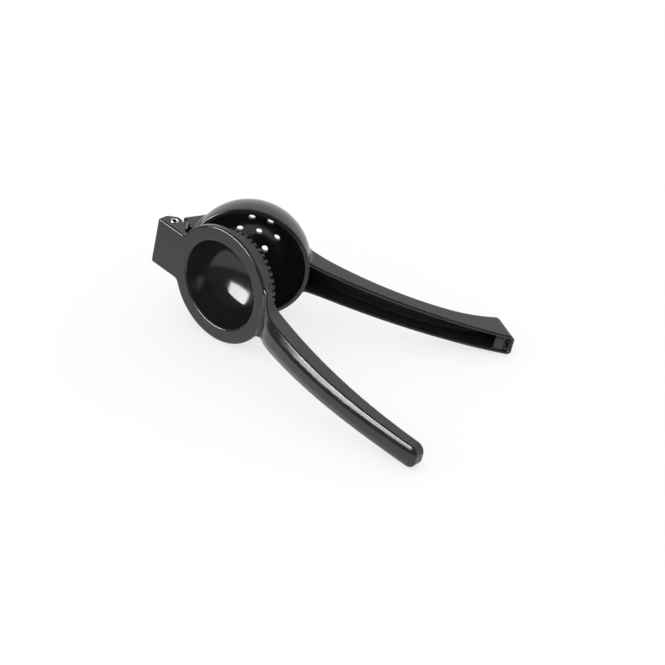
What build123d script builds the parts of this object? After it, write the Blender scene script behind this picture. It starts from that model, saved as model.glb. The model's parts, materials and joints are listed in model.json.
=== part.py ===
from build123d import *

import os
from math import asin, atan2, cos, degrees, exp, hypot, pi, radians, sin, sqrt, tan

# Hinged lemon squeezer: two aluminium castings that turn on a slotted spring pin.
#
# The arms are modelled closed, one on top of the other, in one frame: the pin
# lies along Y through the origin, the arms reach out along +X, and Z points
# from the strainer arm up to the press arm. The last section opens the tool
# and lays it down on its side, as it lies on a table.

os.makedirs("parts", exist_ok=True)

# Hinge (millimetres and degrees throughout)
pin_d = 5.0             # slotted spring pin
pin_wall = 1.0
pin_slot = 1.1          # gap along the pin's whole length
pin_slot_angle = 45.0
hinge_width = 30.0      # over both lugs, and the pin's length
knuckle_wall = 2.0      # strainer arm's knuckle, round the pin
knuckle_width = 13.0
lug_wall = 2.2          # press arm's lugs, round the pin
running_gap = 0.05      # radial, pin in the knuckle
side_gap = 0.25         # knuckle to each lug
sweep_gap = 0.4         # knuckle to the slot in the press arm
heel_reach = 7.0        # block's end, beyond the pin
heel_z = 0.8            # where its back starts to slant
heel_corner = 1.5       # its two upright corners
heel_roof_z = 2.2       # underside of the block there, between the lugs
nose_angle = 36.0       # underside of the block, towards the bowl
block_corner = 1.5      # in plan, between block and flange

# Strainer arm's neck, from the pin to the bowl
neck_reach = 10.0       # pin to the cup's outside
neck_inset = 0.5        # its sides, inside the lugs
neck_room = 2.9         # lugs to the neck, all round the pin
neck_start = 60.0       # its lower corner, seen from the pin
neck_angle = 38.0       # its underside
neck_gap = 0.5          # neck to the press arm's block when closed
web_drop = 0.3          # middle of the neck, below the rim

# Bowls
rim_z = 2.5             # strainer's rim above the pin
cup_r = 36.0            # outside of the strainer's sphere
cup_drop = 3.0          # sphere's centre below the rim
cup_wall = 2.7
rim_edge = 0.8
drain_d = 4.2
drain_circle_d = 22.4
drain_count = 6         # round the one in the middle
closing_gap = 0.3       # between rim and flange when closed
flange_thickness = 3.7
flange_inset = 0.6      # its edge, inside the rim's
flange_edge = 0.8
mouth_edge = 0.8

# Press dome, to the tips of its ribs
peel_gap = 3.2          # dome to the strainer's mouth
skirt_depth = 14.2      # face to the shoulder
dome_depth = 28.0       # face to the crown
shoulder_edge = 1.5
rib_count = 48
rib_height = 1.3
rib_climb = 4.0         # ribs fade out this far up the skirt
rib_end_d = 30.0        # and stop round the crown
dome_wall = 2.4         # under the ribs
bowl_corner = 9.0       # inside the bowl, wall to floor

# Press arm's handle, a channel that opens towards the strainer arm
press_end_x = 214.5
press_back_rise = 25.5  # its back, from the flange to its highest
press_lip_rise = 20.5
press_end_width = 13.7
press_corner = 0.4      # radius along its back, as a share of its height there
press_wall = 2.2
press_end_wall = 2.8
press_end_round = 5.0   # its end, seen from above
press_end_edge = 2.0
press_root = 4.0        # how far it reaches into the flange

# Strainer arm's handle, a channel that opens towards the press arm
strainer_back_drop = 19.1   # its back where it leaves the cup, below the rim
strainer_back_rise = 22.6   # from there to its highest
strainer_lip_rise = 16.6
strainer_root_width = 20.6
strainer_end_width = 12.68
strainer_corner = 3.0
strainer_inner_corner = 1.2
strainer_wall = 1.9
strainer_root = 6.0     # how far it reaches into the cup
end_top_x = 204.3       # its slanted end, at the lip
end_angle = 58.0
end_round = 3.5
end_block = 11.0        # what is solid there, along the lip
hook_inset = 3.1        # slot to hang the tool up by, from the end
hook_slot_y = 0.7
hook_slot_width = 2.4
hook_slot_length = 7.6
pocket_depth = 1.0      # round the slot
bridge_length = 5.7     # between the channel and the pocket

# Curves of both handles, as shares of their length and change: crest, fall, power and root
press_width_form = (1.0, 0.352, 1.9, 0.051)
press_lip_form = (1.0, 1.063, 2.1, 0.045)
press_back_form = (0.852, 0.749, 2.3, 0.072)
strainer_width_form = (1.0, 0.774, 1.13, 0.08)
strainer_back_form = (0.7, 0.99, 1.9, 0.05, 2.4)    # its fall is this much more beyond the crest
strainer_lip_form = (0.865, 1.154, 1.85, 0.028)
handle_stations = 16    # sections along a handle
channel_stations = 14   # and along the strainer arm's channel
clear_station = 3       # the first where the press arm's handle stands clear of the flange

# Most that a fillet takes of the wall beside it
block_corner_share = 0.7
end_corner_share = 0.4

# How the tool lies
rest_opening = 33.6

# Sizes that follow
pin_r = pin_d / 2
knuckle_r = pin_r + knuckle_wall
lug_r = pin_r + lug_wall
half_hinge = hinge_width / 2
half_slot = knuckle_width / 2 + side_gap
bowl_x = neck_reach + cup_r
cup_z = rim_z - cup_drop
hollow_r = cup_r - cup_wall
rim_r = sqrt(cup_r**2 - cup_drop**2)
strainer_mouth_r = sqrt(hollow_r**2 - cup_drop**2)
flange_r = rim_r - flange_inset
under_z = rim_z + closing_gap
face_z = under_z + flange_thickness
shoulder_z = face_z - skirt_depth
crown_z = face_z - dome_depth
dome_r = strainer_mouth_r - peel_gap
crown_rise = shoulder_z - crown_z
crown_r = (dome_r**2 + crown_rise**2) / (2 * crown_rise)
crown_centre_z = crown_z + crown_r
mouth_r = dome_r - rib_height - dome_wall
neck_r = lug_r + neck_room
neck_x = neck_r * cos(radians(neck_start))
neck_low_z = -neck_r * sin(radians(neck_start))
bridge_x = end_top_x - end_block
hook_slot_x = end_top_x - hook_inset
slope = radians(nose_angle)
bowl_axis = Axis((bowl_x, 0, 0), (0, 0, 1))


def nose_x(distance, z):
    """Where a line on the nose's slant, this far from the pin, reaches the height z."""
    return (z * cos(slope) + distance) / sin(slope)


def stations(count, last=1.0):
    """Shares of a handle's length up to the last one, closer together at both ends."""
    return [last * (1 - cos(pi * step / count)) / 2 for step in range(count + 1)]


def handle_measure(share, first, change, crest, fall, power, root, beyond=1.0):
    """A height or width at a share of a handle's length, which changes from its first value to its crest.

    Before the crest it follows a power curve that would start a fall below it, and past the
    crest the same curve times beyond; over the root it leaves that curve for its first value.
    """
    sweep = 1 - fall * abs(1 - share / crest) ** power * (beyond if share > crest else 1)
    return first + change * (sweep + (fall - 1) * exp(-((share / root) ** 2)))


def handle_section(x, full_width, low, high, low_edge, high_edge):
    """One cross-section of a handle or of its channel, standing across X."""
    with BuildSketch(Plane.YZ.offset(x)) as section:
        with Locations((0, (low + high) / 2)):
            Rectangle(full_width, high - low)
        if high_edge:
            fillet(section.vertices().group_by(Axis.Y)[-1], high_edge)
        if low_edge:
            fillet(section.vertices().group_by(Axis.Y)[0], low_edge)
    return section.sketch


# ------------------------------------------------------------------ press arm
press_root_x = bowl_x + flange_r - press_root
press_root_width = 2 * sqrt(flange_r**2 - (flange_r - press_root) ** 2) - flange_edge
press_last_x = press_end_x - press_end_round
press_sections = []
for share in stations(handle_stations):
    w = handle_measure(share, press_root_width, press_end_width - press_root_width, *press_width_form)
    lip = handle_measure(share, under_z, press_lip_rise, *press_lip_form)
    back = handle_measure(share, face_z - flange_edge, press_back_rise, *press_back_form)
    x = press_root_x + share * (press_last_x - press_root_x)
    press_sections.append((x, w, lip, back, press_corner * (back - lip)))

with BuildPart() as groove:
    # One gap between two ribs, about the Z axis
    with BuildSketch(Plane.XZ):
        with BuildLine():
            gap_r = crown_r - rib_height
            gap_out = asin((rib_end_d / 2 + rib_height) / gap_r)
            gap_in = asin((dome_r - rib_height) / gap_r)
            middle = (gap_in + gap_out) / 2
            fade = Line((dome_r, shoulder_z + rib_climb), (dome_r - rib_height, shoulder_z + rib_climb / 2))
            wall = Line(fade @ 1, (gap_r * sin(gap_in), crown_centre_z - gap_r * cos(gap_in)))
            floor = ThreePointArc(
                wall @ 1,
                (gap_r * sin(middle), crown_centre_z - gap_r * cos(middle)),
                (gap_r * sin(gap_out), crown_centre_z - gap_r * cos(gap_out)),
            )
            out = Line(floor @ 1, (rib_end_d / 2 - rib_height, crown_z))
            below = Line(out @ 1, (dome_r + rib_height, crown_z))
            side = Line(below @ 1, (dome_r + rib_height, shoulder_z + rib_climb))
            Line(side @ 1, fade @ 0)
        make_face()
    revolve(axis=Axis.Z, revolution_arc=180 / rib_count)

with BuildPart() as press_arm:
    # Flange round the bowl, and the block that carries the lugs
    with BuildSketch(Plane.XY.offset(under_z)):
        with Locations((bowl_x, 0)):
            Circle(flange_r)
    extrude(amount=flange_thickness)
    with BuildSketch(Plane.XZ):
        with BuildLine():
            face = Line((bowl_x / 2, face_z), (-heel_reach, face_z))
            back = Line(face @ 1, (-heel_reach, heel_z))
            heel = Line(back @ 1, Vector(-lug_r, -lug_r) * sqrt(0.5))
            barrel = RadiusArc(heel @ 1, Vector(sin(slope), -cos(slope)) * lug_r, -lug_r)
            nose = Line(barrel @ 1, (nose_x(lug_r, under_z), under_z))
            under = Line(nose @ 1, (bowl_x / 2, under_z))
            Line(under @ 1, face @ 0)
        make_face()
    extrude(amount=half_hinge, both=True)
    upright = press_arm.edges().filter_by(Axis.Z).sort_by(Axis.X)
    corner_room = bowl_x - sqrt(flange_r**2 - half_hinge**2) - nose_x(lug_r, under_z)
    fillet(upright[-2:], min(block_corner, block_corner_share * corner_room))
    fillet(press_arm.edges().filter_by(Axis.Z).sort_by(Axis.X)[:2], heel_corner)
    fillet(press_arm.faces().sort_by(Axis.Z)[-1].edges(), flange_edge)

    # Handle, solid at first, with its rounded end
    loft([handle_section(x, w, lip, back, 0, edge) for x, w, lip, back, edge in press_sections])
    x, w, lip, back, edge = press_sections[-1]
    ends = []
    for turn in range(0, 90, 20):
        narrowing = press_end_round * (1 - cos(radians(turn)))
        inset = press_end_edge * (1 - cos(radians(turn)))
        end_x = x + press_end_round * sin(radians(turn))
        end_width = w - 2 * narrowing
        end_edge = min(edge - inset, end_corner_share * end_width)
        ends.append(handle_section(end_x, end_width, lip + inset, back - inset, 0, end_edge))
    loft(ends)

    # Its channel: the same sections less the wall, open below, from where the handle stands clear
    channel = []
    channel_end = (press_end_x - press_end_wall, w, lip, back, edge)
    for x, w, lip, back, edge in press_sections[clear_station:] + [channel_end]:
        inner = (w - 2 * press_wall, lip - press_wall, back - press_wall, 0, edge - press_wall / 2)
        channel.append(handle_section(x, *inner))
    loft(channel, mode=Mode.SUBTRACT)

    # Dome, then the gaps between its ribs
    with BuildSketch(Plane.XZ) as dome_side:
        with BuildLine():
            top = Line((bowl_x, face_z - mouth_edge), (bowl_x + dome_r, face_z - mouth_edge))
            skirt = Line(top @ 1, (bowl_x + dome_r, shoulder_z))
            crown = RadiusArc(skirt @ 1, (bowl_x, crown_z), crown_r)
            Line(crown @ 1, top @ 0)
        make_face()
        fillet(dome_side.vertices().sort_by(Axis.X)[-2:].sort_by(Axis.Y)[0], shoulder_edge)
    revolve(axis=bowl_axis)
    with Locations((bowl_x, 0, 0)):
        with PolarLocations(0, rib_count):
            add(groove.part, mode=Mode.SUBTRACT)

    # Inside of the bowl, with its rounded mouth
    with BuildSketch(Plane.XZ) as bowl_side:
        with BuildLine():
            top = Line((bowl_x, face_z), (bowl_x + mouth_r + mouth_edge, face_z))
            edge = RadiusArc(top @ 1, (bowl_x + mouth_r, face_z - mouth_edge), -mouth_edge)
            floor_r = crown_r - rib_height - dome_wall
            wall = Line(edge @ 1, (bowl_x + mouth_r, crown_centre_z - sqrt(floor_r**2 - mouth_r**2)))
            floor = RadiusArc(wall @ 1, (bowl_x, crown_centre_z - floor_r), floor_r)
            Line(floor @ 1, top @ 0)
        make_face()
        fillet(bowl_side.vertices().group_by(Axis.X)[-2].sort_by(Axis.Y)[0], bowl_corner)
    revolve(axis=bowl_axis, mode=Mode.SUBTRACT)

    # Slot for the strainer arm's knuckle, and the hole for the pin
    with BuildSketch(Plane.XZ):
        Circle(knuckle_r + sweep_gap)
        with Locations((0, heel_roof_z)):
            Rectangle(2 * heel_reach, 3 * lug_r, align=(Align.MAX, Align.MAX))
        with Locations((0, under_z)):
            Rectangle(3 * lug_r, 3 * lug_r, align=(Align.MIN, Align.MAX))
    extrude(amount=half_slot, both=True, mode=Mode.SUBTRACT)
    with BuildSketch(Plane.XZ):
        Circle(pin_r)
    extrude(amount=half_hinge, both=True, mode=Mode.SUBTRACT)

# --------------------------------------------------------------- strainer arm
strainer_root_x = bowl_x + cup_r - strainer_root
strainer_length = end_top_x - strainer_root_x


def strainer_section(share):
    """The strainer arm's handle at a share of its length: x, full width, back and lip."""
    narrowing = strainer_end_width - strainer_root_width
    w = handle_measure(share, strainer_root_width, narrowing, *strainer_width_form)
    back = handle_measure(share, rim_z - strainer_back_drop, strainer_back_rise, *strainer_back_form)
    lip = handle_measure(share, rim_z, strainer_lip_rise, *strainer_lip_form)
    return strainer_root_x + share * strainer_length, w, back, lip


end_top_z = strainer_section(1.0)[-1]

with BuildPart() as strainer_arm:
    # Handle, solid at first, then its channel, open above
    outer = [strainer_section(share) for share in stations(handle_stations)]
    loft([handle_section(x, w, back, lip, strainer_corner, 0) for x, w, back, lip in outer])
    channel = []
    for share in stations(channel_stations, (bridge_x - strainer_root_x) / strainer_length):
        x, w, back, lip = strainer_section(share)
        inner = (w - 2 * strainer_wall, back + strainer_wall, lip + strainer_wall, strainer_inner_corner, 0)
        channel.append(handle_section(x, *inner))
    loft(channel, mode=Mode.SUBTRACT)

    # Its slanted end, rounded at both sides
    slanted = Plane(
        (end_top_x, 0, end_top_z),
        x_dir=(sin(radians(end_angle)), 0, -cos(radians(end_angle))),
        z_dir=(cos(radians(end_angle)), 0, sin(radians(end_angle))),
    )
    with BuildSketch(slanted):
        with Locations((-end_round, 0)):
            Rectangle(cup_r, hinge_width, align=(Align.MIN, Align.CENTER))
            RectangleRounded(2 * end_round, strainer_end_width, end_round - rim_edge, mode=Mode.SUBTRACT)
    extrude(amount=cup_r, both=True, mode=Mode.SUBTRACT)

    # Pocket in the end, and through it the slot to hang the tool up by
    pocket_x = bridge_x + bridge_length
    with BuildSketch(Plane.XY.offset(end_top_z - pocket_depth)):
        with Locations((pocket_x, 0)):
            Rectangle(
                end_top_x - strainer_wall - pocket_x,
                strainer_end_width - 2 * strainer_wall,
                align=(Align.MIN, Align.CENTER),
            )
    extrude(amount=2 * pocket_depth, mode=Mode.SUBTRACT)
    with BuildSketch(Plane.XY.offset(end_top_z)):
        with Locations((hook_slot_x, hook_slot_y)):
            SlotOverall(hook_slot_length, hook_slot_width, rotation=90)
    extrude(amount=-cup_r, mode=Mode.SUBTRACT)

    # Bowl and neck
    with BuildSketch(Plane.XZ) as cup_side:
        with BuildLine():
            top = Line((bowl_x, rim_z), (bowl_x + rim_r, rim_z))
            skin = RadiusArc(top @ 1, (bowl_x, cup_z - cup_r), cup_r)
            Line(skin @ 1, top @ 0)
        make_face()
        fillet(cup_side.vertices().sort_by(Axis.X)[-1], rim_edge)
    revolve(axis=bowl_axis)
    neck_end = bowl_x / 2
    neck_end_z = neck_low_z - (neck_end - neck_x) * tan(radians(neck_angle))
    with BuildSketch(Plane.XZ):
        with BuildLine():
            neck_foot = ((neck_x, neck_low_z), (neck_end, neck_end_z))
            Polyline((neck_x, rim_z), *neck_foot, (neck_end, rim_z), close=True)
        make_face()
    extrude(amount=half_hinge - neck_inset, both=True)
    with BuildSketch(Plane.XZ):
        Circle(neck_r)
        with BuildLine():
            clear = lug_r + neck_gap
            Polyline(
                (0, 0),
                (clear * sin(slope), -clear * cos(slope)),
                (nose_x(clear, face_z), face_z),
                (0, face_z),
                close=True,
            )
        make_face()
    extrude(amount=half_hinge + side_gap, both=True, mode=Mode.SUBTRACT)

    # Knuckle in the middle, and the web that joins it to the neck
    with BuildSketch(Plane.XZ):
        Circle(knuckle_r)
        with BuildLine():
            Polyline(
                (0, rim_z - web_drop),
                (0, -knuckle_r),
                *neck_foot,
                (neck_end, rim_z - web_drop),
                close=True,
            )
        make_face()
    extrude(amount=knuckle_width / 2, both=True)

    # Inside of the bowl, its drain holes and the hole for the pin
    with BuildSketch(Plane.XZ):
        with BuildLine():
            top = Line((bowl_x, rim_z), (bowl_x + strainer_mouth_r, rim_z))
            skin = RadiusArc(top @ 1, (bowl_x, cup_z - hollow_r), hollow_r)
            Line(skin @ 1, top @ 0)
        make_face()
    revolve(axis=bowl_axis, mode=Mode.SUBTRACT)
    with BuildSketch(Plane.XY.offset(cup_z)):
        with Locations((bowl_x, 0)):
            Circle(drain_d / 2)
            with PolarLocations(drain_circle_d / 2, drain_count):
                Circle(drain_d / 2)
    extrude(amount=-cup_r, mode=Mode.SUBTRACT)
    with BuildSketch(Plane.XZ):
        Circle(pin_r + running_gap)
    extrude(amount=half_hinge, both=True, mode=Mode.SUBTRACT)

# ----------------------------------------------------------------- spring pin
with BuildPart() as spring_pin:
    with BuildSketch(Plane.XZ):
        Circle(pin_r)
        Circle(pin_r - pin_wall, mode=Mode.SUBTRACT)
        slot_align = (Align.MIN, Align.CENTER)
        Rectangle(pin_d, pin_slot, rotation=pin_slot_angle, align=slot_align, mode=Mode.SUBTRACT)
    extrude(amount=half_hinge, both=True)

# ------------------------------------------------------- open, and on its side
# It rests on the cup and on the side of the strainer handle's end
half = rest_opening / 2
turn = radians(half)
cup_reach = bowl_x * cos(turn) + cup_z * sin(turn)
end_reach = (end_top_x - end_round) * cos(turn) + end_top_z * sin(turn)
half_end = strainer_end_width / 2
lean = asin(cup_r / hypot(end_reach - cup_reach, half_end)) - atan2(half_end, end_reach - cup_reach)
lying = Rotation(0, degrees(lean), 0) * Rotation(90, 0, 0)
for arm in (press_arm, spring_pin):
    arm.part.move(lying * Rotation(0, -half, 0))
strainer_arm.part.move(lying * Rotation(0, half, 0))
box = Compound([press_arm.part, strainer_arm.part]).bounding_box()
for arm in (press_arm, spring_pin, strainer_arm):
    arm.part.move(Pos(-box.center().X, -box.center().Y, -box.min.Z))

press_arm.part.label = "press_arm"
export_step(press_arm.part, "parts/press_arm.step")
strainer_arm.part.label = "strainer_arm"
export_step(strainer_arm.part, "parts/strainer_arm.step")
spring_pin.part.label = "spring_pin"
export_step(spring_pin.part, "parts/spring_pin.step")
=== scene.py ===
import json

import bpy
import numpy as np
from mathutils import Matrix, Vector


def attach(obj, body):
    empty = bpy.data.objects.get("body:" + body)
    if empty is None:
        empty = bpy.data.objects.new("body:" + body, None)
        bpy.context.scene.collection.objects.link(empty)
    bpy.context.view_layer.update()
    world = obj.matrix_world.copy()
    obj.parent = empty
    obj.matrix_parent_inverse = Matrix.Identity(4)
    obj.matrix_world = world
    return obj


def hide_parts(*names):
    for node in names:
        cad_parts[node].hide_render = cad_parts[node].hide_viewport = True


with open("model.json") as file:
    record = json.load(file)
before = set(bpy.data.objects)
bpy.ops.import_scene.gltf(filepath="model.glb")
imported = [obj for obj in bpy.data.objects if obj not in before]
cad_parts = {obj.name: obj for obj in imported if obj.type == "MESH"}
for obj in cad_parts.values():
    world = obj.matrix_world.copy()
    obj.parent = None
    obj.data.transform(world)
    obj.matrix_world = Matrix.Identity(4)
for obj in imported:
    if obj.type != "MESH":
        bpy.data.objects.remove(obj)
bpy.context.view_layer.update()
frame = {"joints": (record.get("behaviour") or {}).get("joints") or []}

# ---------------------------------------------------------------- the hinge
# Two castings turn about one pin, and the tool lies on its side, half open.
# Each casting is worked out in its arm's own directions, in millimetres from
# the middle of the pin: x out along the handle, y along the pin, and z from
# the strainer arm's side to the press arm's.
hinge = frame["joints"][0]
pin_middle = np.array(hinge["pos_m"])
pin_way = -np.array(hinge["axis"]) / np.linalg.norm(hinge["axis"])
half_opening = np.radians(33.6) / 2
middle_way = np.cross((0, 1, 0), pin_way)
across_way = np.array((0, 1, 0))


def arm_directions(side):
    """Rows x, y, z of an arm that is turned half the opening away from the middle way, to one side."""
    c, s = np.cos(half_opening), side * np.sin(half_opening)
    return np.array((c * middle_way + s * across_way, pin_way, s * middle_way - c * across_way))


press_way = arm_directions(-1)
strainer_way = arm_directions(1)


# ------------------------------------------------------------ the press arm
# One aluminium casting: a block with two lugs for the pin, a flange round the
# bowl that presses the fruit, and a handle with a U-shaped section. The mould
# leaves every edge round, and the enamel makes it rounder still.
def rounded(a, b, radius):
    """The larger of two distances, and where both are near zero, an arc of the radius round the corner.

    The arc is the length of the two distances, each taken from a radius inside, less the radius.
    """
    return np.minimum(np.maximum(a, b) + radius, 0) + np.hypot(
        np.maximum(a + radius, 0), np.maximum(b + radius, 0)
    ) - radius


def filled(a, b, radius):
    """The smaller of two distances, with the corner between them filled: the same arc, seen from inside."""
    return -rounded(-a, -b, radius)


def below(x, z, point, angle):
    """Distance below a line in the xz plane through a point, which climbs at an angle in degrees."""
    slope = np.radians(angle)
    return (x - point[0]) * np.sin(slope) - (z - point[1]) * np.cos(slope)


def handle_measure(share, first, change, crest, fall, power, root, beyond=1.0):
    """A height or width at a share of a handle's length, from its first value to its crest.

    Before the crest it follows a power curve, past the crest the same curve times beyond, and over
    the root an exponential leads it from its first value to that curve.
    """
    share = np.clip(share, 0, 1)
    sweep = 1 - fall * np.abs(1 - share / crest) ** power * np.where(share > crest, beyond, 1)
    return first + change * (sweep + (fall - 1) * np.exp(-((share / root) ** 2)))


bowl_x = 46.0
half_hinge = 15.0
pin_r = 2.5
under_z, face_z = 2.8, 6.5
flange_r, flange_edge = 35.27, 1.1
mouth_r, mouth_edge, bowl_corner = 26.5, 1.3, 9.0
lug_r = 4.7
nose_angle = 36.0
heel_x, heel_z = -7.0, 0.8
block_corner = 1.5
dome_r = 29.96
shoulder_z = -7.7
crown_r, crown_centre_z = 39.4, 17.95
rib_height = 1.3
core_inset = 0.3
core_top_z = 4.0
dome_wall = 2.4
knuckle_room_r, knuckle_room_z, knuckle_room_x, knuckle_room_y = 4.9, 2.2, 14.0, 6.75
press_root_x, press_last_x, press_end_x = 77.27, 209.5, 214.5
press_end_round = 5.0
press_wall, press_end_wall, press_channel_x = 2.2, 2.8, 88.4
press_width = (31.7, -18.0, 1.0, 0.352, 1.9, 0.051)
press_lip = (under_z, 20.5, 1.0, 1.063, 2.1, 0.045)
press_back = (face_z - 0.8, 25.5, 0.852, 0.749, 2.3, 0.072)
press_corner = 0.4
bevel_lean, bevel_depth = np.radians(71), 0.36
grid_step = 0.65


def press_casting(x, y, z):
    """Distance to the press arm, without the ribs of its dome.

    The plan of the block and the flange is made first, then cut off by the flat face above and by
    the nose, the lugs' round and the heel below. The handle's section changes along x.
    """
    r = np.hypot(x - bowl_x, y)
    block = np.maximum(rounded(np.abs(y) - half_hinge, heel_x - x, block_corner), x - bowl_x / 2)
    arm = rounded(filled(r - flange_r, block, block_corner), z - face_z, flange_edge)
    nose_foot = lug_r * np.sin(np.radians(nose_angle)), -lug_r * np.cos(np.radians(nose_angle))
    heel_foot = -lug_r * np.sqrt(0.5)
    heel_angle = np.degrees(np.arctan2(heel_z - heel_foot, heel_x - heel_foot))
    low = np.maximum(below(x, z, nose_foot, nose_angle), -below(x, z, (heel_foot, heel_foot), heel_angle))
    between = (x * nose_foot[1] - z * nose_foot[0] > 0) & (heel_foot * (z - x) > 0)
    low = np.where(between, np.maximum(low, np.hypot(x, z) - lug_r), low)
    arm = rounded(arm, np.minimum(under_z - z, low), 0.5)

    share = (x - press_root_x) / (press_last_x - press_root_x)
    wide = handle_measure(share, *press_width) / 2
    lip = handle_measure(share, *press_lip)
    back = handle_measure(share, *press_back)
    corner = press_corner * (back - lip)
    # the back's corners are cut off by a face that leans away from the sides
    side = rounded(np.abs(y) - wide, x - press_end_x, press_end_round)
    bevel = side * np.cos(bevel_lean) + (z - back) * np.sin(bevel_lean) + bevel_depth * corner
    outside = rounded(rounded(side, bevel, 0.65), z - back, 0.5)
    outside = rounded(outside, lip - z, 0.6)
    inside = rounded(np.abs(y) - wide + press_wall, z - back + press_wall, corner - press_wall / 2)
    inside = rounded(rounded(inside, x - press_end_x + press_end_wall, 2.0), press_channel_x - x, 2.0)
    handle = np.maximum(rounded(outside, -inside, 0.5), press_root_x - x)
    arm = filled(arm, handle, np.clip(np.minimum(z - under_z, r - flange_r + 1.5), 0, 2))

    # the plain core stands just inside the roots of the dome's ribs, and the bowl is cut into it
    core_depth = rib_height + core_inset
    crown = np.hypot(r, z - crown_centre_z) - crown_r
    core = rounded(r - dome_r + core_depth, crown + core_depth, 1.5)
    arm = np.minimum(arm, np.maximum(core, z - core_top_z))
    bowl = rounded(r - mouth_r, crown + rib_height + dome_wall, bowl_corner)
    arm = rounded(arm, -bowl, mouth_edge)

    # room for the strainer arm's knuckle and neck between the lugs, and the lugs' hole
    room = np.minimum(np.hypot(x, z) - knuckle_room_r, np.maximum(x, z - knuckle_room_z))
    room = np.minimum(room, np.maximum(np.maximum(-x, x - knuckle_room_x), z - under_z))
    arm = rounded(arm, -np.maximum(room, np.abs(y) - knuckle_room_y), 0.4)
    return rounded(arm, pin_r - np.hypot(x, z), 0.3)


def skin(field, low, high, step):
    """Points, normals and quads of the surface where the field is zero.

    Each cell of a grid that the surface crosses gets one point, the mean of where it crosses the
    cell's edges, moved along the field's slope until the field there is zero. Each grid edge that it
    crosses gives one quad between the points of the four cells round the edge.
    """
    axes = [np.arange(a, b + step, step) for a, b in zip(low, high)]
    value = np.asarray(field(*np.meshgrid(*axes, indexing="ij", sparse=True)))
    cells = np.array(value.shape) - 1
    stride = np.array((cells[1] * cells[2], cells[2], 1))
    ids, crossings, quads = [], [], []
    for axis in range(3):
        near = np.take(value, range(cells[axis]), axis)
        far = np.take(value, range(1, cells[axis] + 1), axis)
        crossed = (near < 0) != (far < 0)
        edge = np.argwhere(crossed)
        near, far = near[crossed], far[crossed]
        place = edge.astype(float)
        place[:, axis] += near / (near - far)
        u, v = (axis + 1) % 3, (axis + 2) % 3
        corners = []
        for du, dv in ((0, 0), (1, 0), (1, 1), (0, 1)):
            cell = edge.copy()
            cell[:, u] -= du
            cell[:, v] -= dv
            corners.append(cell @ stride)
        corners = np.array(corners).T
        ids.append(corners.ravel())
        crossings.append(np.repeat(place, 4, axis=0))
        quads.append(np.where((near < 0)[:, None], corners, corners[:, ::-1]))
    used, index = np.unique(np.concatenate(ids), return_inverse=True)
    crossings = np.concatenate(crossings)
    count = np.bincount(index)
    points = np.stack([np.bincount(index, crossings[:, k]) / count for k in range(3)], axis=1)
    points = np.array([a[0] for a in axes]) + points * step
    quads = np.searchsorted(used, np.concatenate(quads))

    def slope(p, reach=0.02):
        """Central differences of the field."""
        steps = np.eye(3) * reach
        return np.stack([(field(*(p + d).T) - field(*(p - d).T)) / (2 * reach) for d in steps], axis=1)

    for _ in range(6):
        way = slope(points)
        size = np.maximum((way**2).sum(1), 0.05)
        move = np.clip(field(*points.T) / size, -step / 2, step / 2)
        points = points - move[:, None] * way
    way = slope(points, 0.05)
    return points, way / np.linalg.norm(way, axis=1)[:, None], quads


def cast(name, points, quads, way, normals=None):
    """A mesh object from an arm's points in millimetres, turned to where the arm lies."""
    mesh = bpy.data.meshes.new(name)
    mesh.from_pydata((pin_middle + points @ way / 1000).tolist(), [], quads.tolist())
    mesh.polygons.foreach_set("use_smooth", np.ones(len(quads), bool))
    mesh.update()
    if normals is not None:
        mesh.normals_split_custom_set_from_vertices((normals @ way).tolist())
    piece = bpy.data.objects.new(name, mesh)
    bpy.context.scene.collection.objects.link(piece)
    return piece


points, normals, quads = skin(press_casting, (-8, -37, -22), (216, 37, 33), grid_step)
press_arm = cast("press_arm_casting", points, quads, press_way, normals)
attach(press_arm, "press_arm")
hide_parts("press_arm")


# ------------------------------------------------------- the ribbed dome
# The outside of the press bowl: 48 ribs, part of the same casting, run from the
# crown over the shoulder and fade out up the skirt, and grip the fruit.
rib_count = 48
rib_end_r = 15.0
rib_climb = 4.0
rib_steepness = 1.6
inner_skin_depth = rib_height + 0.8
around = 12 * rib_count


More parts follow.
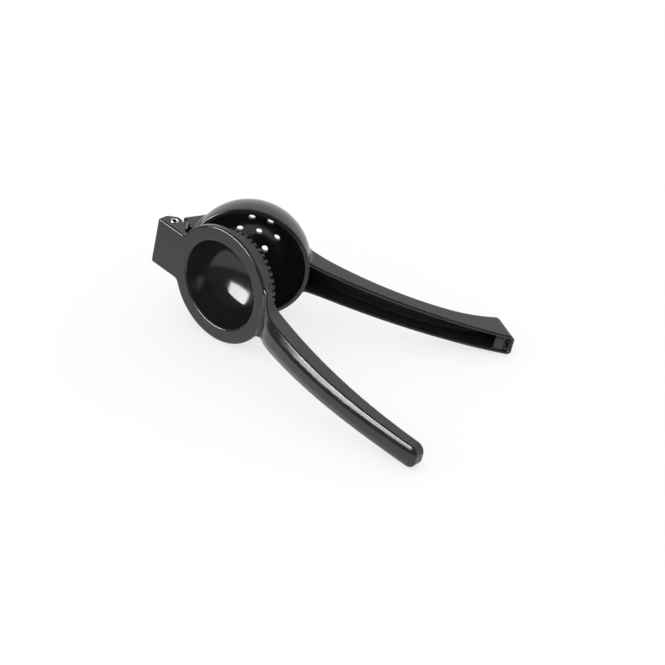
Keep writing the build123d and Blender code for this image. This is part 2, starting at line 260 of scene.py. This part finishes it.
def ribbed_dome():
    """Points and faces of a profile turned about the bowl's axis, with the gaps between the ribs cut in.

    The profile is an arc down from the crown and the skirt up from the shoulder. A gap's depth is a
    smooth step of the sine of the angle times the number of ribs. It is zero inside the ribs' end and
    above where they fade. A second, plain skin behind the first closes the shell.
    """
    edge_angle = np.arcsin(dome_r / crown_r)
    arc = np.linspace(0, edge_angle, 46)
    r = np.concatenate((crown_r * np.sin(arc), np.full(24, dome_r)))
    skirt = np.linspace(shoulder_z, core_top_z, 25)[1:]
    z = np.concatenate((crown_centre_z - crown_r * np.cos(arc), skirt))
    nr, nz = np.gradient(z), -np.gradient(r)
    length = np.hypot(nr, nz)
    nr, nz = nr / length, nz / length
    turn = np.linspace(0, 2 * np.pi, around, endpoint=False)
    wave = np.clip(0.5 - rib_steepness * np.sin(rib_count * turn), 0, 1)
    wave = wave * wave * (3 - 2 * wave)
    climb = np.clip((shoulder_z + rib_climb - z) / (rib_climb / 2), 0, 1)
    start = np.clip((r - rib_end_r) / rib_height, 0, 1)
    depth = rib_height * (climb * climb * (3 - 2 * climb) * start)[:, None] * (1 - wave)
    skins = []
    for inset in (depth, np.full_like(depth, inner_skin_depth)):
        radius = r[:, None] - nr[:, None] * inset
        height = z[:, None] - nz[:, None] * inset
        radius[0] = 0
        height[-1] = core_top_z
        skins.append(np.stack((bowl_x + radius * np.cos(turn), radius * np.sin(turn), height), axis=-1))
    rows = np.concatenate((skins[0][1:], skins[1][:0:-1]))
    count = len(rows)
    here = np.arange(around)
    after = (here + 1) % around
    first = np.arange(count - 1)[:, None] * around
    sides = np.stack((first + here, first + after, first + around + after, first + around + here), axis=-1)
    points = np.concatenate((rows.reshape(-1, 3), skins[0][0, :1], skins[1][0, :1]))
    outer, inner = count * around, count * around + 1
    last = (count - 1) * around
    crown = np.stack((np.full(around, outer), after, here), axis=-1)
    ceiling = np.stack((np.full(around, inner), last + here, last + after), axis=-1)
    return points, sides.reshape(-1, 4).tolist() + crown.tolist() + ceiling.tolist()


points, faces = ribbed_dome()
dome = cast("press_dome_ribs", points, np.array(faces, dtype=object), press_way)
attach(dome, "press_arm")


# --------------------------------------------------------- the strainer arm
# The other casting: a round cup with seven drain holes, a neck with the hinge's
# knuckle on one side of it and a U-shaped handle with a hanging slot on the other.
rim_z, rim_edge = 2.5, 0.8
cup_r, cup_z, cup_wall = 36.0, -0.5, 2.7
drain_r, drain_circle_r, drain_step = 1.9, 11.2, 60
knuckle_r, knuckle_bore_r, half_knuckle, web_z = 4.5, 2.55, 6.5, 2.2
neck_x, neck_low_z, neck_r, half_neck = 3.8, -6.58, 7.6, 14.5
neck_angle = -38.0
neck_clear = 5.2
strainer_root_x, end_top_x, end_top_z, end_angle = 76.0, 204.3, 18.4, 58.0
strainer_wall, strainer_corner = 1.9, 3.0
strainer_width = (20.6, -7.92, 1.0, 0.774, 1.13, 0.08)
strainer_back = (rim_z - 19.1, 22.6, 0.7, 0.99, 1.9, 0.05, 2.4)
strainer_lip = (rim_z, 16.6, 0.865, 1.154, 1.85, 0.028)
bridge_x, bridge_drop, bridge_crown = 193.3, 0.3, 1.1
pocket_x, pocket_depth = 199.0, 1.0
hook_middle, hook_y, hook_angle = (200.7, 17.4), 0.7, 70.0
hook_r, hook_half_length = 1.05, 2.6


def strainer_casting(x, y, z):
    """Distance to the strainer arm: handle, cup, neck and knuckle joined, then the hollows cut out."""
    r = np.hypot(x - bowl_x, y)
    share = (x - strainer_root_x) / (end_top_x - strainer_root_x)
    wide = handle_measure(share, *strainer_width) / 2
    back = handle_measure(share, *strainer_back)
    lip = handle_measure(share, *strainer_lip)
    end = below(x, z, (end_top_x, end_top_z), end_angle)
    outside = rounded(rounded(np.abs(y) - wide, end, 2.7), back - z, strainer_corner)
    outside = rounded(outside, z - lip, 0.6)
    side = np.abs(y) - wide + strainer_wall
    channel = rounded(rounded(side, back + strainer_wall - z, 1.2), x - bridge_x, 1.0)
    pocket = rounded(rounded(side, x - end_top_x + strainer_wall, 1.0), pocket_x - x, 0.6)
    pocket = rounded(pocket, end_top_z - pocket_depth - z, 0.3)
    # the bridge between them lies a little lower than the lip, and is highest in the middle
    bridge = np.maximum(np.maximum(side, bridge_x - x), x - pocket_x)
    bridge = np.maximum(bridge, lip - bridge_drop - bridge_crown * (y / wide) ** 2 - z)
    # the hanging slot goes through the pocket's floor and leans towards the handle
    along = np.maximum(np.abs(y - hook_y) - hook_half_length, 0)
    hook_slot = np.hypot(along, below(x, z, hook_middle, hook_angle)) - hook_r
    hollows = np.minimum(np.minimum(channel, pocket), np.minimum(bridge, hook_slot))
    handle = np.maximum(rounded(outside, -hollows, 0.5), strainer_root_x - x)

    ball = np.hypot(r, z - cup_z)
    cup = rounded(ball - cup_r, z - rim_z, rim_edge)
    arm = filled(cup, handle, np.clip(rim_z - z, 0, 2))
    neck_low = below(x, z, (neck_x, neck_low_z), neck_angle)
    neck = rounded(np.abs(y) - half_neck, neck_low, 0.8)
    neck = rounded(np.maximum(neck, x - bowl_x / 2), z - rim_z, 0.6)
    clear = below(x, z, (0, -neck_clear / np.cos(np.radians(nose_angle))), nose_angle)
    neck = rounded(rounded(neck, -clear, 0.6), neck_r - np.hypot(x, z), 0.6)
    neck = rounded(neck, neck_x - x, 0.6)
    arm = filled(arm, neck, np.clip(rim_z - z, 0, 1.5))
    # the web between the knuckle and the neck starts at the knuckle's lowest point
    start = below(x, z, (0, -knuckle_r), np.degrees(np.arctan2(neck_low_z + knuckle_r, neck_x)))
    web = np.maximum(np.minimum(start, neck_low), z - web_z)
    web = np.maximum(np.maximum(web, -x), x - bowl_x / 2)
    web = rounded(np.minimum(web, np.hypot(x, z) - knuckle_r), np.abs(y) - half_knuckle, 0.5)
    arm = filled(arm, web, np.clip(web_z - z, 0, 0.8))

    arm = rounded(arm, cup_r - cup_wall - ball, 0.6)
    drains = r - drain_r
    for turn in np.radians(range(0, 360, drain_step)):
        place = bowl_x + drain_circle_r * np.cos(turn), drain_circle_r * np.sin(turn)
        drains = np.minimum(drains, np.hypot(x - place[0], y - place[1]) - drain_r)
    arm = rounded(arm, -np.maximum(drains, z - cup_z), 0.15)
    return rounded(arm, knuckle_bore_r - np.hypot(x, z), 0.3)


points, normals, quads = skin(strainer_casting, (-6, -37, -38), (206, 37, 22), grid_step)
strainer_arm = cast("strainer_arm_casting", points, quads, strainer_way, normals)
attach(strainer_arm, "strainer_arm")
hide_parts("strainer_arm")

# ------------------------------------------------------------- the enamel
# Both castings are powder coated glossy black. The coat flows out almost flat
# and keeps a fine orange peel, and handling leaves faint marks in its gloss.
def add_nodes(tree, *kinds):
    """New shader nodes of these kinds in a tree, in the order asked for."""
    return [tree.nodes.new("ShaderNode" + kind) for kind in kinds]


def set_inputs(node, values):
    """Puts each value on the node's input of that name or number."""
    for socket, value in values.items():
        node.inputs[socket].default_value = value


marks = bpy.data.node_groups.new("fine_marks", "ShaderNodeTree")
marks.interface.new_socket("Scale", in_out="INPUT", socket_type="NodeSocketFloat")
marks.interface.new_socket("Stretch", in_out="INPUT", socket_type="NodeSocketVector")
marks.interface.new_socket("Marks", in_out="OUTPUT", socket_type="NodeSocketFloat")
taken, given = marks.nodes.new("NodeGroupInput"), marks.nodes.new("NodeGroupOutput")
place, stretch, grain, ramp = add_nodes(marks, "TexCoord", "VectorMath", "TexNoise", "MapRange")
stretch.operation = "MULTIPLY"
set_inputs(grain, {"Detail": 5, "Roughness": 0.62})
set_inputs(ramp, {"From Min": 0.42, "From Max": 0.72})
marks.links.new(place.outputs["Object"], stretch.inputs[0])
marks.links.new(taken.outputs["Stretch"], stretch.inputs[1])
marks.links.new(stretch.outputs[0], grain.inputs["Vector"])
marks.links.new(taken.outputs["Scale"], grain.inputs["Scale"])
marks.links.new(grain.outputs[0], ramp.inputs["Value"])
marks.links.new(ramp.outputs[0], given.inputs["Marks"])

enamel = bpy.data.materials.new("black_enamel")
enamel.use_nodes = True
tree, link = enamel.node_tree, enamel.node_tree.links.new
coat = tree.nodes["Principled BSDF"]
worn, tint, gloss = add_nodes(tree, "Group", "Mix", "MapRange")
place, peel, bump = add_nodes(tree, "TexCoord", "TexNoise", "Bump")
worn.node_tree = marks
tint.data_type = "RGBA"
set_inputs(coat, {"IOR": 1.5})
set_inputs(worn, {"Scale": 90, "Stretch": (1, 1, 1)})
set_inputs(tint, {6: (0.0160, 0.0160, 0.0164, 1), 7: (0.0200, 0.0198, 0.0195, 1)})
set_inputs(gloss, {"To Min": 0.13, "To Max": 0.20})
set_inputs(peel, {"Scale": 420, "Detail": 2})
set_inputs(bump, {"Strength": 0.03, "Distance": 0.00006})
link(worn.outputs["Marks"], tint.inputs[0])
link(worn.outputs["Marks"], gloss.inputs["Value"])
link(tint.outputs[2], coat.inputs["Base Color"])
link(gloss.outputs[0], coat.inputs["Roughness"])
link(place.outputs["Object"], peel.inputs["Vector"])
link(peel.outputs[0], bump.inputs["Height"])
link(bump.outputs["Normal"], coat.inputs["Normal"])
for piece in (press_arm, dome, strainer_arm):
    piece.data.materials.append(enamel)

# --------------------------------------------------------- the spring pin
# A slotted pin rolled from bright spring steel strip, pressed into both lugs.
# Its ends are chamfered so that it starts in the hole.
pin_wall = 1.0
slot_half = 0.55
slot_way = np.radians(45)
chamfer_depth = 0.2
arc_points = 61


def spring_pin():
    """Points and quads of the pin: a C-shaped loop, outer arc then inner arc, carried along its length."""
    gap_out, gap_in = np.arcsin(slot_half / pin_r), np.arcsin(slot_half / (pin_r - pin_wall))
    out = slot_way + np.linspace(gap_out, 2 * np.pi - gap_out, arc_points)
    back = slot_way + np.linspace(2 * np.pi - gap_in, gap_in, arc_points)
    stations = np.array((-half_hinge, -14.8, -14.2, 14.2, 14.8, half_hinge))
    outer_r = (pin_r - chamfer_depth * np.array((1, 0.5, 0, 0, 0.5, 1)))[:, None]
    inner_r = (pin_r - pin_wall + chamfer_depth / 2 * np.array((1, 0, 0, 0, 0, 1)))[:, None]
    x = np.concatenate((outer_r * np.cos(out), inner_r * np.cos(back)), axis=1)
    z = np.concatenate((outer_r * np.sin(out), inner_r * np.sin(back)), axis=1)
    points = np.stack((x, np.broadcast_to(stations[:, None], x.shape), z), axis=-1).reshape(-1, 3)
    loop, last = 2 * arc_points, len(stations) - 1
    here = np.arange(loop)
    after = (here + 1) % loop
    first = np.arange(last)[:, None] * loop
    sides = np.stack((first + here, first + loop + here, first + loop + after, first + after), axis=-1)
    k = np.arange(arc_points - 1)
    near = np.stack((k, k + 1, loop - 2 - k, loop - 1 - k), axis=-1)
    far = near[:, ::-1] + last * loop
    return points, np.concatenate((sides.reshape(-1, 4), near, far))


points, quads = spring_pin()
pin = cast("hinge_spring_pin", points, quads, press_way)
pin.data.polygons.foreach_set("use_smooth", np.zeros(len(quads), bool))
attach(pin, "press_arm")
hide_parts("spring_pin")
steel = bpy.data.materials.new("spring_steel")
steel.use_nodes = True
tree, link = steel.node_tree, steel.node_tree.links.new
metal = tree.nodes["Principled BSDF"]
drawn, gloss, bump = add_nodes(tree, "Group", "MapRange", "Bump")
drawn.node_tree = marks
set_inputs(metal, {"Metallic": 1, "Base Color": (0.72, 0.72, 0.70, 1)})
set_inputs(drawn, {"Scale": 900, "Stretch": (1, 1, 0.12)})
set_inputs(gloss, {"To Min": 0.22, "To Max": 0.42})
set_inputs(bump, {"Strength": 0.25, "Distance": 0.00003})
link(drawn.outputs["Marks"], gloss.inputs["Value"])
link(drawn.outputs["Marks"], bump.inputs["Height"])
link(gloss.outputs[0], metal.inputs["Roughness"])
link(bump.outputs["Normal"], metal.inputs["Normal"])
pin.data.materials.append(steel)

# ------------------------------------------------------------- the studio
# The tool lies on a white sweep, with a long lens well above it.
camera_place = Vector((0.4316, -0.9122, 0.6202))
camera_aim = Vector((0.01783, -0.0001, 0.02348))
camera_roll = np.radians(1.24)
camera = bpy.data.objects.new("camera", bpy.data.cameras.new("camera"))
camera.data.lens = 113.684
camera.data.clip_end = 20
aim = (camera_aim - camera_place).to_track_quat("-Z", "Y").to_matrix()
turn = aim @ Matrix.Rotation(camera_roll, 3, "Z")
camera.matrix_world = Matrix.Translation(camera_place) @ turn.to_4x4()
bpy.context.scene.collection.objects.link(camera)
bpy.context.scene.camera = camera

floor_corners = [(-4, -4, 0), (4, -4, 0), (4, 4, 0), (-4, 4, 0)]
floor_mesh = bpy.data.meshes.new("floor")
floor_mesh.from_pydata(floor_corners, [], [(0, 1, 2, 3)])
floor = bpy.data.objects.new("floor", floor_mesh)
bpy.context.scene.collection.objects.link(floor)
sweep = bpy.data.materials.new("white_sweep")
sweep.use_nodes = True
tree, link = sweep.node_tree, sweep.node_tree.links.new
paper = tree.nodes["Principled BSDF"]
seen, shine, blend = add_nodes(tree, "LightPath", "Emission", "MixShader")
clear, shade = add_nodes(tree, "BsdfTransparent", "MixShader")
set_inputs(paper, {"Base Color": (0.97, 0.97, 0.97, 1), "Roughness": 1, "Specular IOR Level": 0})
set_inputs(shine, {"Strength": 1.02})
set_inputs(blend, {"Fac": 0.3})
link(shine.outputs[0], blend.inputs[1])
link(paper.outputs[0], blend.inputs[2])
# the gloss looks through the sweep at the world below it
link(seen.outputs["Is Glossy Ray"], shade.inputs["Fac"])
link(blend.outputs[0], shade.inputs[1])
link(clear.outputs[0], shade.inputs[2])
link(shade.outputs[0], tree.nodes["Material Output"].inputs["Surface"])
floor_mesh.materials.append(sweep)

# The world is plain white, but the gloss sees a studio in it: the sweep rises behind the tool, lies
# under it, and ends soon in front of it, so that only directions steeper than 20 degrees meet it
# there. The rest of the room is dim.
room_glow, sweep_glow = 0.12, 0.95
world = bpy.data.worlds.new("studio")
world.use_nodes = True
tree, link = world.node_tree, world.node_tree.links.new
seen, way, parts, room = add_nodes(tree, "LightPath", "TexCoord", "SeparateXYZ", "Mix")
behind, height, upper, flat, front, lower, strength = add_nodes(tree, *["MapRange"] * 7)
risen, cut_off, under = add_nodes(tree, *["Math"] * 3)
risen.operation = cut_off.operation = "MULTIPLY"
under.operation = "LESS_THAN"
set_inputs(behind, {"From Min": 0.05, "From Max": 0.3})
set_inputs(height, {"From Min": 0.85, "From Max": 0.7})
set_inputs(upper, {"To Min": room_glow})
set_inputs(flat, {"From Min": -0.375, "From Max": -0.31})
set_inputs(front, {"From Min": 0.1, "From Max": -0.1})
set_inputs(lower, {"To Min": sweep_glow, "To Max": room_glow})
set_inputs(under, {1: 0})
set_inputs(strength, {"To Min": 1})
set_inputs(tree.nodes["Background"], {"Color": (1, 1, 1, 1)})
link(way.outputs["Generated"], parts.inputs[0])
link(parts.outputs["Y"], behind.inputs["Value"])
link(parts.outputs["Z"], height.inputs["Value"])
link(behind.outputs[0], risen.inputs[0])
link(height.outputs[0], risen.inputs[1])
link(risen.outputs[0], upper.inputs["Value"])
link(parts.outputs["Z"], flat.inputs["Value"])
link(parts.outputs["Y"], front.inputs["Value"])
link(flat.outputs[0], cut_off.inputs[0])
link(front.outputs[0], cut_off.inputs[1])
link(cut_off.outputs[0], lower.inputs["Value"])
link(parts.outputs["Z"], under.inputs[0])
link(under.outputs[0], room.inputs[0])
link(upper.outputs[0], room.inputs[2])
link(lower.outputs[0], room.inputs[3])
link(seen.outputs["Is Glossy Ray"], strength.inputs["Value"])
link(room.outputs[0], strength.inputs["To Max"])
link(strength.outputs[0], tree.nodes["Background"].inputs["Strength"])
bpy.context.scene.world = world

# One softbox to the left of the camera gives the gloss its highlights.
softbox = bpy.data.objects.new("softbox", bpy.data.lights.new("softbox", "AREA"))
softbox.data.shape = "RECTANGLE"
softbox.data.size, softbox.data.size_y = 1.2, 0.7
softbox.data.energy = 50
softbox_place = Vector((-1.01, -1.07, 0.46))
softbox_aim = Vector((-0.05, 0, 0.04))
toward = (softbox_aim - softbox_place).to_track_quat("-Z", "Y").to_matrix().to_4x4()
softbox.matrix_world = Matrix.Translation(softbox_place) @ toward
softbox.visible_camera = softbox.visible_diffuse = False
bpy.context.scene.collection.objects.link(softbox)
bpy.context.scene.view_settings.view_transform = "Standard"
